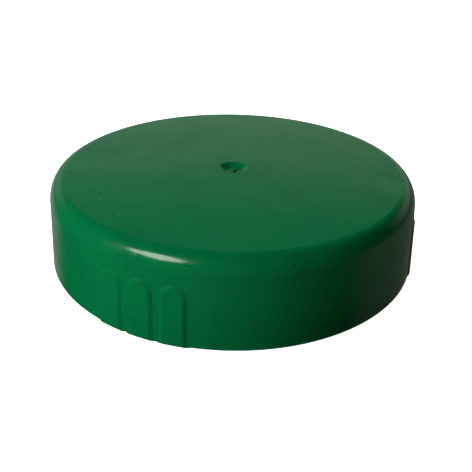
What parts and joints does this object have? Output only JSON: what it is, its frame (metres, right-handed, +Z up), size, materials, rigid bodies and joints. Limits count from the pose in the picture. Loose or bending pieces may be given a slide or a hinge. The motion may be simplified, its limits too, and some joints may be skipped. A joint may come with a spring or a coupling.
{
  "type": "disinfectant jar lid",
  "caption": "Round green plastic screw lid for a wide-mouth disinfectant jar, with grouped grip ribs, an internal thread and a loose foam sealing disc.",
  "frame": {"origin": "centre of the rim that the lid stands on", "axes": "+Z up along the screw axis, from the open mouth to the flat top; -Y is the front"},
  "size_m": [0.1204, 0.12, 0.0273],
  "materials": {
    "lid_green": "satin-gloss moulded polypropylene, dark emerald green",
    "liner_foam": "white expanded polyethylene foam",
    "liner_film": "smooth white polyethylene film"
  },
  "bodies": {
    "lid": {"lid": "lid_green"},
    "liner": {"liner_foam": "liner_foam", "liner_film": "liner_film"}
  },
  "joints": [
    {"name": "liner_spin", "type": "hinge", "parent": "lid", "child": "liner", "pos_m": [0, 0, 0.024], "axis": [0, 0, 1], "continuous": true}
  ]
}
